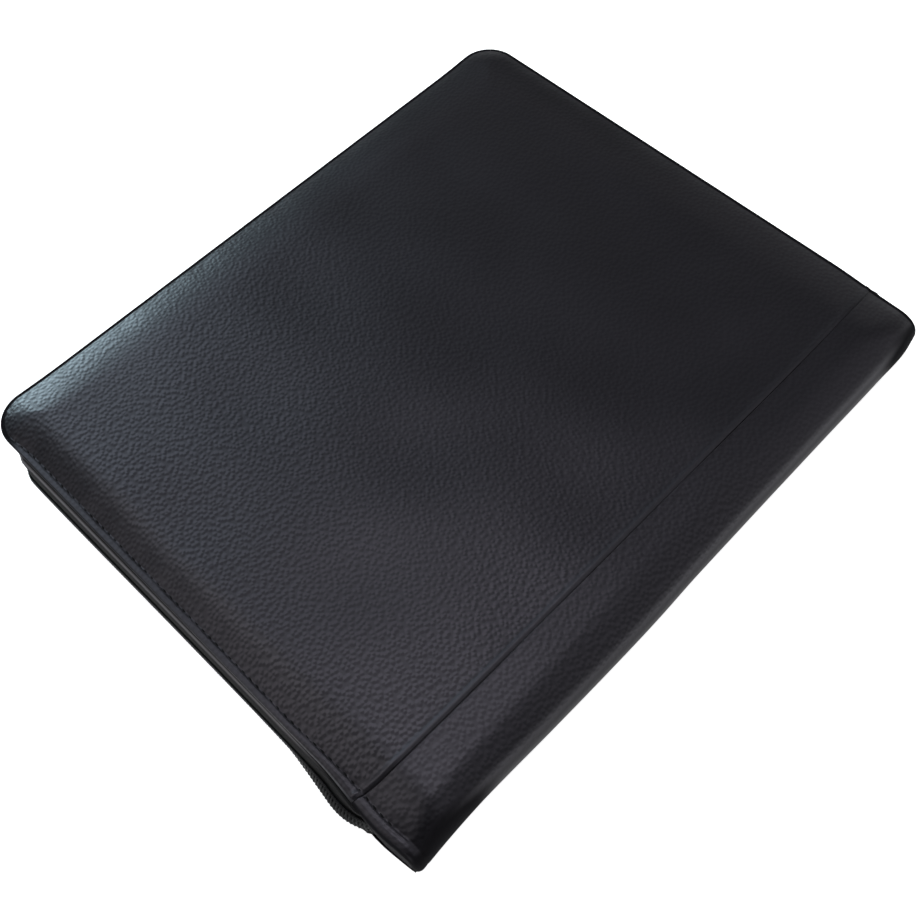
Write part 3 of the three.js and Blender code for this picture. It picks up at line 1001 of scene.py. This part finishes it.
def pebbled_leather():
    material, sheet = new_finish("black_pebbled_leather")
    place = sheet.millimetres()
    hide = sheet.mark("hide", "Vector")
    drift = sheet.node("ShaderNodeTexNoise", None, {"Vector": hide, "Scale": 0.22, "Detail": 1.0}, "Color")
    drift = sheet.vector("SCALE", {0: drift, "Scale": 0.8})
    drawn = sheet.vector("ADD", {0: hide, 1: drift})
    ahead = pebbles(sheet, drawn, "ADD")
    behind = pebbles(sheet, drawn, "SUBTRACT")
    pressed = 1 - PRESSED_SHARE * sheet.mark("turned")
    # Painted shade: the side of each pebble turned away from the window is darkened in colour and loses
    # shine; pressed leather shows it less
    side_away_from_light = sheet.ease(behind - ahead, -SHADE_SOFTNESS, SHADE_SOFTNESS)
    shaded = 0.5 + (side_away_from_light - 0.5) * pressed
    # Painted highlight on the seam ridge: the painted pebble shade is lifted there
    shaded = shaded * (1 - sheet.mark("rubbed"))
    fine = sheet.noise(place, 3.2, 3.0)
    cloudy = sheet.noise(place, 0.035, 2.0)
    relief = sheet.relief((ahead + behind) * 0.5 * pressed + fine * FINE_GRAIN, PEBBLE_DEPTH)
    grained = sheet.skin(
        {
            # Colour: random cloudy tone, darkened by the painted pebble shade
            "Base Color": sheet.tint(cloudy - shaded * 0.5, LEATHER_SHADED_TONE, LEATHER_LIT_TONE),
            "Roughness": 0.34 + 0.05 * cloudy,
            "Normal": relief,
            "Specular IOR Level": 0.5,
            "Specular Tint": LEATHER_GLOSS,
        }
    )
    # A dark finish with almost no shine, for edge ink and for painted shade
    ink_and_shade_skin = sheet.skin(
        {
            "Base Color": (*LEATHER_INK_AND_SHADE, 1),
            "Roughness": 0.75,
            "Normal": relief,
            "Specular IOR Level": 0.02,
        }
    )
    # How far the dark finish covers: edge ink, painted shade from the marks, and the painted pebble shade
    inked = sheet.ease(sheet.mark("inked"), 0.0, FULL_INK_AND_SHADE)
    ink_and_shade_share = inked.math("MAXIMUM", inked, shaded * SHADE_DULLNESS)
    sheet.surface(sheet.node("ShaderNodeMixShader", None, {0: ink_and_shade_share, 1: grained, 2: ink_and_shade_skin}))
    return material


def woven_tape():
    material, sheet = new_finish("black_woven_tape")
    along_tape = sheet.mark("along_tape")
    across_tape = sheet.mark("across_tape")
    fold_highlight = sheet.mark("fold_highlight")
    warp = (across_tape * (2 * math.pi / WARP_PITCH)).sine()
    weft = (along_tape * (2 * math.pi / WEFT_PITCH)).sine()
    weave = (warp * weft * 0.5 + 0.5) * (1 - 0.8 * fold_highlight)
    fuzz = sheet.noise(sheet.millimetres(), 2.5, 3.0)
    # The folded edge takes a painted highlight: a much paler colour, less weave and less roughness
    shade = weave * 0.03 + fuzz * 0.015 + fold_highlight * FOLD_HIGHLIGHT
    sheet.plain_finish(
        {
            "Base Color": sheet.tint(shade, (0.0015, 0.0015, 0.0017), (0.34, 0.32, 0.33)),
            "Roughness": 0.80 + 0.10 * fuzz - 0.50 * fold_highlight,
            "Normal": sheet.relief(weave + fuzz * 0.3, 0.08),
            "Specular IOR Level": 0.1,
        }
    )
    return material


def black_nylon():
    material, sheet = new_finish("black_nylon")
    place = sheet.millimetres()
    # Random tone of the nylon's wear
    rubbed = sheet.noise(place, 0.9, 2.0)
    scuffs = sheet.noise(place, 6.0, 2.0)
    sheet.plain_finish(
        {
            "Base Color": sheet.tint(rubbed, (0.0015, 0.0015, 0.0017), (0.005, 0.005, 0.0056)),
            "Roughness": 0.36 + 0.25 * scuffs,
            "Normal": sheet.relief(scuffs, 0.02),
            "Specular IOR Level": 0.15,
        }
    )
    return material


def waxed_thread():
    material, sheet = new_finish("black_thread")
    place = sheet.millimetres()
    strands = sheet.noise(place, 5.0, 2.0)
    dye = sheet.noise(place, 0.25, 1.0)
    sheet.plain_finish(
        {
            "Base Color": sheet.tint(dye, (0.0015, 0.0015, 0.0018), (0.0055, 0.0053, 0.006)),
            "Roughness": 0.80 + 0.15 * strands,
            "Normal": sheet.relief(strands, 0.08),
            "Specular IOR Level": 0.2,
        }
    )
    return material


def gunmetal():
    material, sheet = new_finish("gunmetal_plating")
    place = sheet.millimetres()
    brushed = sheet.node(
        "ShaderNodeMapping", {"vector_type": "TEXTURE"}, {"Vector": place, "Scale": (4.0, 0.25, 0.25)}
    )
    streaks = sheet.noise(brushed, 1.5, 3.0)
    # Random tone of the plating's wear
    wear_and_shade = sheet.noise(place, 0.6, 2.0)
    sheet.plain_finish(
        {
            "Base Color": sheet.tint(wear_and_shade, (0.055, 0.055, 0.060), (0.13, 0.13, 0.14)),
            "Metallic": 1.0,
            "Roughness": 0.24 + 0.20 * streaks,
            "Normal": sheet.relief(streaks, 0.02),
        }
    )
    return material


# Threads along a path


def thread_tree():
    """A node tree that sets small arched threads along a path, as stitches or turns of a coil."""
    tree = bpy.data.node_groups.new("arched_threads", "GeometryNodeTree")
    inputs = (
        ("Path", "NodeSocketGeometry"),
        ("Count", "NodeSocketInt"),
        ("Start", "NodeSocketVector"),
        ("Middle", "NodeSocketVector"),
        ("End", "NodeSocketVector"),
        ("Thread radius", "NodeSocketFloat"),
        ("Unevenness", "NodeSocketFloat"),
        ("Seed", "NodeSocketInt"),
        ("Finish", "NodeSocketMaterial"),
    )
    for name, kind in inputs:
        tree.interface.new_socket(name, in_out="INPUT", socket_type=kind)
    tree.interface.new_socket("Threads", in_out="OUTPUT", socket_type="NodeSocketGeometry")
    sheet = NodeSheet(tree)
    group = tree.nodes.new("NodeGroupInput")
    given = {name: Wire(sheet, group.outputs[name]) for name, _ in inputs}
    path = sheet.node("GeometryNodeMeshToCurve", None, {"Mesh": given["Path"]})
    spaced = sheet.node("GeometryNodeResampleCurve", None, {"Curve": path, "Count": given["Count"]})
    ends = {name: given[name] for name in ("Start", "Middle", "End")}
    arch = sheet.node("GeometryNodeCurveQuadraticBezier", None, {"Resolution": 5, **ends})
    ring = sheet.node(
        "GeometryNodeCurvePrimitiveCircle", None, {"Resolution": 6, "Radius": given["Thread radius"]}
    )
    thread = sheet.node(
        "GeometryNodeCurveToMesh", None, {"Curve": arch, "Profile Curve": ring, "Fill Caps": True}
    )
    out = sheet.node(
        "GeometryNodeInputNamedAttribute", {"data_type": "FLOAT_VECTOR"}, {"Name": "facing_out"}
    )
    course = sheet.node("GeometryNodeInputTangent")
    upright = sheet.node("FunctionNodeAlignRotationToVector", {"axis": "Z"}, {"Vector": out})
    turned = sheet.node(
        "FunctionNodeAlignRotationToVector",
        {"axis": "X", "pivot_axis": "Z"},
        {"Rotation": upright, "Vector": course},
    )
    swing = given["Unevenness"]
    sway = sheet.node(
        "FunctionNodeRandomValue",
        {"data_type": "FLOAT"},
        {2: swing * -1.0, 3: swing, "Seed": given["Seed"]},
        1,
    )
    twist = sheet.node("FunctionNodeAxisAngleToRotation", None, {"Axis": (0, 0, 1), "Angle": sway})
    turned = sheet.node(
        "FunctionNodeRotateRotation",
        {"rotation_space": "LOCAL"},
        {"Rotation": turned, "Rotate By": twist},
    )
    set_out = sheet.node(
        "GeometryNodeInstanceOnPoints", None, {"Points": spaced, "Instance": thread, "Rotation": turned}
    )
    real = sheet.node("GeometryNodeRealizeInstances", None, {"Geometry": set_out})
    finish = given["Finish"]
    finished = sheet.node("GeometryNodeSetMaterial", None, {"Geometry": real, "Material": finish})
    result = tree.nodes.new("NodeGroupOutput")
    tree.links.new(finished.socket, result.inputs["Threads"])
    return tree


def threads_along(name, tree, points, out, sizes):
    """Runs the thread tree on a path and keeps the result as a plain mesh."""
    path = bpy.data.meshes.new(name + "_path")
    edges = [(i, i + 1) for i in range(len(points) - 1)]
    path.from_pydata(to_frame(points).tolist(), edges, [])
    facing = path.attributes.new("facing_out", "FLOAT_VECTOR", "POINT")
    facing.data.foreach_set("vector", np.asarray(out, float).ravel())
    maker = bpy.data.objects.new(name + "_maker", path)
    bpy.context.scene.collection.objects.link(maker)
    modifier = maker.modifiers.new("threads", "NODES")
    modifier.node_group = tree
    for item in tree.interface.items_tree:
        if item.in_out == "INPUT" and item.name in sizes:
            modifier[item.identifier] = sizes[item.name]
    depsgraph = bpy.context.evaluated_depsgraph_get()
    mesh = bpy.data.meshes.new_from_object(maker.evaluated_get(depsgraph), depsgraph=depsgraph)
    mesh.name = name
    bpy.data.objects.remove(maker)
    bpy.data.meshes.remove(path)
    return add_piece(name, mesh)


def lip_stitches(name, start, end, tree, material):
    """A row of stitches between two places on the round, each one in its own pucker."""
    step = stitch_total / STITCH_COUNT
    first = math.ceil(start / step)
    count = math.floor(end / step) - first + 1
    places = step * np.linspace(first, first + count - 1, 8 * count)

    def on_round(values):
        columns = [np.interp(places, stitch_run, column, period=stitch_total) for column in values.T]
        return np.stack(columns, -1)

    half = STITCH_LENGTH / 2 * MM
    rise = THREAD_RADIUS * MM
    sizes = {
        "Count": count,
        "Start": (-half, STITCH_SLANT * half, -STITCH_SINK * rise),
        "Middle": (0.0, 0.0, STITCH_RISE * rise),
        "End": (half, -STITCH_SLANT * half, -STITCH_SINK * rise),
        "Thread radius": rise,
        "Unevenness": STITCH_SWAY,
        "Seed": 4,
        "Finish": material,
    }
    return threads_along(name, tree, on_round(stitch_points), on_round(stitch_out), sizes)


def coil_turns(name, side, tree, material):
    """One of the coil's two interlocked rows."""
    route = zip_route(SLIDER_FROM_SPINE, 0.5)
    middle = stand(route, *on_chain_line(route))[:, 0]
    lean = route["lean"]
    flat = np.stack([np.cos(route["facing"]), np.sin(route["facing"]), 0 * lean], -1)
    out = flat * np.cos(lean)[:, None] + np.array([0, 0, 1]) * np.sin(lean)[:, None]
    count = int(path_lengths(middle)[-1] / COIL_PITCH)
    shift = side * COIL_PITCH / 4

    def in_coil(ahead, across, rise):
        return (shift + ahead) * MM, side * across * COIL_HALF * MM, rise * MM

    sizes = {
        "Count": count,
        "Start": in_coil(*COIL_START),
        "Middle": in_coil(*COIL_MIDDLE),
        "End": in_coil(*COIL_END),
        "Thread radius": COIL_RADIUS * MM,
        "Unevenness": COIL_SWAY,
        "Seed": 7 + side,
        "Finish": material,
    }
    return threads_along(name, tree, middle, out, sizes)


# Slider


def rounded_plate(outline, low, high, bevel):
    """A plate between two depths with softened edges; the outline lies in x and z."""
    made = bmesh.new()
    lower = [made.verts.new((x, low, z)) for x, z in outline]
    upper = [made.verts.new((x, high, z)) for x, z in outline]
    made.faces.new(lower)
    made.faces.new(upper[::-1])
    count = len(outline)
    for i in range(count):
        made.faces.new((lower[i], upper[i], upper[(i + 1) % count], lower[(i + 1) % count]))
    bmesh.ops.recalc_face_normals(made, faces=made.faces)
    rims = [edge for edge in made.edges if abs(edge.verts[0].co.y - edge.verts[1].co.y) < 1e-6]
    bmesh.ops.bevel(made, geom=rims, offset=bevel, segments=3, profile=0.5, affect="EDGES")
    return made


def rounded_outline(half_x, half_z, radius, taper=0.0):
    """A rectangle with round corners that narrows towards its low x end."""
    points = []
    for turn, (sx, sz) in enumerate(((1, 1), (-1, 1), (-1, -1), (1, -1))):
        for angle in np.linspace(0, np.pi / 2, 7) + turn * np.pi / 2:
            x = sx * (half_x - radius) + radius * np.cos(angle)
            z = sz * (half_z - radius) + radius * np.sin(angle)
            narrow = 1 - taper * (half_x - x) / (2 * half_x)
            points.append((x, z * narrow))
    return points


def pull_outline():
    """A tab with a round free end, narrower where the slider holds it."""
    half = PULL_WIDTH / 2
    points = [(half, -half / 2), (half, half / 2)]
    for angle in np.linspace(np.pi / 2, 3 * np.pi / 2, 15):
        points.append((half - PULL_LENGTH + half * np.cos(angle), half * np.sin(angle)))
    return points


def zip_slider(material):
    inner = CHAIN_THICKNESS / 2 + TAPE_CLEARANCE
    back = -inner - TAPE_THICKNESS - TAPE_CLEARANCE
    outer = inner + SLIDER_PLATE
    bridge = outer + PULL_STANDOFF
    half = SLIDER_LENGTH / 2
    post = SLIDER_POST / 2
    plate = rounded_outline(half, SLIDER_RIM, SLIDER_CORNER, SLIDER_TAPER)
    parts = [
        rounded_plate(plate, inner, outer, SLIDER_BEVEL),
        rounded_plate(plate, back - SLIDER_PLATE, back, SLIDER_BEVEL),
    ]
    nose = rounded_outline(half / 2 - NOSE_GAP, post, NOSE_CORNER)
    nose = [(x + half / 2 + NOSE_GAP, z) for x, z in nose]
    parts.append(rounded_plate(nose, back - NOSE_GAP, inner + NOSE_GAP, NOSE_BEVEL))
    lug = rounded_outline(PULL_WIDTH / 2 + LUG_CORNER, post * LUG_SHARE, LUG_CORNER)
    lug_top = bridge + PULL_THICKNESS + LUG_RISE
    parts.append(rounded_plate(lug, outer - LUG_SINK, lug_top, PULL_BEVEL))
    tab = rounded_plate(pull_outline(), bridge, bridge + PULL_THICKNESS, PULL_BEVEL)
    bmesh.ops.rotate(
        tab, verts=tab.verts, cent=(0, 0, 0), matrix=Matrix.Rotation(math.radians(-PULL_DROOP), 3, "Y")
    )
    parts.append(tab)
    joined = bmesh.new()
    for part in parts:
        single = bpy.data.meshes.new("slider_part")
        part.to_mesh(single)
        part.free()
        joined.from_mesh(single)
        bpy.data.meshes.remove(single)
    out, height = (ZIP_NEAR_END[column][-1] for column in ("out", "height"))
    middle = np.array([COVER_WIDTH - SLIDER_FROM_SPINE, HALF_LENGTH + out, height])
    for vertex in joined.verts:
        vertex.co = to_frame(np.array(vertex.co) + middle)
    mesh = bpy.data.meshes.new("slider")
    joined.to_mesh(mesh)
    joined.free()
    piece = add_piece("slider", mesh, material)
    mesh.set_sharp_from_angle(angle=math.radians(40))
    return piece


# Pieces, each with its slot and the solids that it stands for
leather = pebbled_leather()
tape = woven_tape()
nylon = black_nylon()
thread = waxed_thread()
metal = gunmetal()
arches = thread_tree()

made = (
    (front_cover(leather), "leather", ("front_panel",)),
    (back_cover(leather), "leather", ("back_panel",)),
    (spine_strip(leather), "leather", ("spine_panel",)),
    (zip_tape("tape_under_front_lip", 1, tape), "zip_tape", ("zip_tape_front",)),
    (zip_tape("tape_over_back_lip", -1, tape), "zip_tape", ("zip_tape_back",)),
    (coil_core(nylon), "zip_coil", ("zip_chain",)),
    (coil_turns("coil_turns_upper", 1, arches, nylon), "zip_coil", ("zip_chain",)),
    (coil_turns("coil_turns_lower", -1, arches, nylon), "zip_coil", ("zip_chain",)),
    (zip_slider(metal), "slider_metal", ("zip_slider",)),
    (lip_stitches("front_stitches", -SPINE_STITCHES, front_row, arches, thread), "leather", ()),
    (lip_stitches("back_stitches", *back_row, arches, thread), "leather", ()),
)
for piece, slot, nodes in made:
    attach(piece, "root")
    if nodes:
        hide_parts(*nodes)

# Room: pale floor, soft light and the camera
FLOOR_SIZE = 6.0
CAMERA_PLACE = (0.1902, -0.1652, 0.3958)
CAMERA_AZIMUTH = -40.7
CAMERA_ELEVATION = 60.5
CAMERA_ROLL = -5.4
CAMERA_LENS = 46.97
# Soft boxes: name, degrees round from the spine side and up, half width and half height in degrees, light
LIGHT_DISTANCE = 3.0
LIGHTS = (
    ("overhead", 150, 76, 8, 6, (6.8, 6.7, 7.1)),
    ("high_side", 217, 62, 8, 7, (3.8, 3.7, 3.6)),
    ("high_window", 178, 45, 13, 12, (2.7, 3.15, 3.5)),
    ("window", 177, 17, 6, 7, (15.4, 20.8, 22.4)),
    ("near_side", 247, 40, 11, 21, (1.85, 1.8, 1.8)),
    ("spine_fill", 36, 46, 28, 38, (0.64, 0.64, 0.67)),
    ("far_fill", 123, 36, 25, 9, (0.46, 0.46, 0.46)),
    ("corner_fill", 92, 20, 16, 13, (0.33, 0.33, 0.33)),
)
WALL_LIGHT = 0.25
ROOM_LIGHT = 0.03
FLOOR_GLOW = 0.88


def pale_floor():
    material, sheet = new_finish("pale_floor")
    speckle = sheet.noise(sheet.millimetres(), 0.02, 1.0)
    sheet.plain_finish(
        {
            "Base Color": sheet.tint(speckle, (0.90, 0.90, 0.90), (0.93, 0.93, 0.93)),
            "Roughness": 0.9,
            "Specular IOR Level": 0.1,
            "Emission Color": (1.0, 1.0, 1.0, 1),
            "Emission Strength": FLOOR_GLOW,
        }
    )
    mesh = bpy.data.meshes.new("floor")
    half = FLOOR_SIZE / 2
    corners = [(-half, -half, 0), (half, -half, 0), (half, half, 0), (-half, half, 0)]
    mesh.from_pydata(corners, [], [(0, 1, 2, 3)])
    add_piece("floor", mesh, material)


def facing_from(back):
    """Axes of something that looks along minus back, upright."""
    back = np.asarray(back, float) / np.linalg.norm(back)
    right = np.cross((0, 0, 1), back)
    right = right / np.linalg.norm(right)
    return right, np.cross(back, right), back


def set_in_room(thing, place, axes):
    turned = Matrix([list(column) for column in axes]).transposed().to_4x4()
    thing.matrix_world = Matrix.Translation(place) @ turned
    bpy.context.scene.collection.objects.link(thing)


def pointing(azimuth, height):
    """A direction from the folio: round from the spine side, and up from the floor, in degrees."""
    azimuth, height = math.radians(azimuth), math.radians(height)
    level = math.cos(height)
    return np.array([level * math.cos(azimuth), level * math.sin(azimuth), math.sin(height)])


def soft_box(name, azimuth, height, wide, tall, light):
    data = bpy.data.lights.new(name, "AREA")
    data.shape = "RECTANGLE"
    data.size = 2 * LIGHT_DISTANCE * math.tan(math.radians(wide))
    data.size_y = 2 * LIGHT_DISTANCE * math.tan(math.radians(tall))
    brightest = max(light)
    data.energy = brightest * math.pi * data.size * data.size_y
    data.color = [channel / brightest for channel in light]
    back = pointing(azimuth, height)
    box = bpy.data.objects.new(name, data)
    box.visible_camera = False
    set_in_room(box, back * LIGHT_DISTANCE, facing_from(back))


def photo_camera():
    data = bpy.data.cameras.new("photo_camera")
    data.lens = CAMERA_LENS
    data.clip_start = 0.01
    camera = bpy.data.objects.new("photo_camera", data)
    right, up, back = facing_from(pointing(CAMERA_AZIMUTH, CAMERA_ELEVATION))
    roll = math.radians(CAMERA_ROLL)
    rolled = (
        math.cos(roll) * right + math.sin(roll) * up,
        math.cos(roll) * up - math.sin(roll) * right,
        back,
    )
    set_in_room(camera, CAMERA_PLACE, rolled)
    bpy.context.scene.camera = camera


def studio_walls():
    """A pale wall near the floor in a dim room."""
    world = bpy.data.worlds.new("studio")
    world.use_nodes = True
    world.node_tree.nodes.clear()
    sheet = NodeSheet(world.node_tree)
    direction = sheet.node("ShaderNodeTexCoord", None, None, "Generated")
    height = sheet.node("ShaderNodeSeparateXYZ", None, {"Vector": direction}, "Z")
    pale = 1 - sheet.ease(height, 0.02, 0.10)
    strength = ROOM_LIGHT + WALL_LIGHT * pale
    colour = (0.96, 0.98, 1.0, 1)
    shader = sheet.node("ShaderNodeBackground", None, {"Color": colour, "Strength": strength})
    sheet.node("ShaderNodeOutputWorld", None, {"Surface": shader})
    bpy.context.scene.world = world


pale_floor()
for row in LIGHTS:
    soft_box(*row)
photo_camera()
studio_walls()
bpy.context.scene.view_settings.view_transform = "Standard"
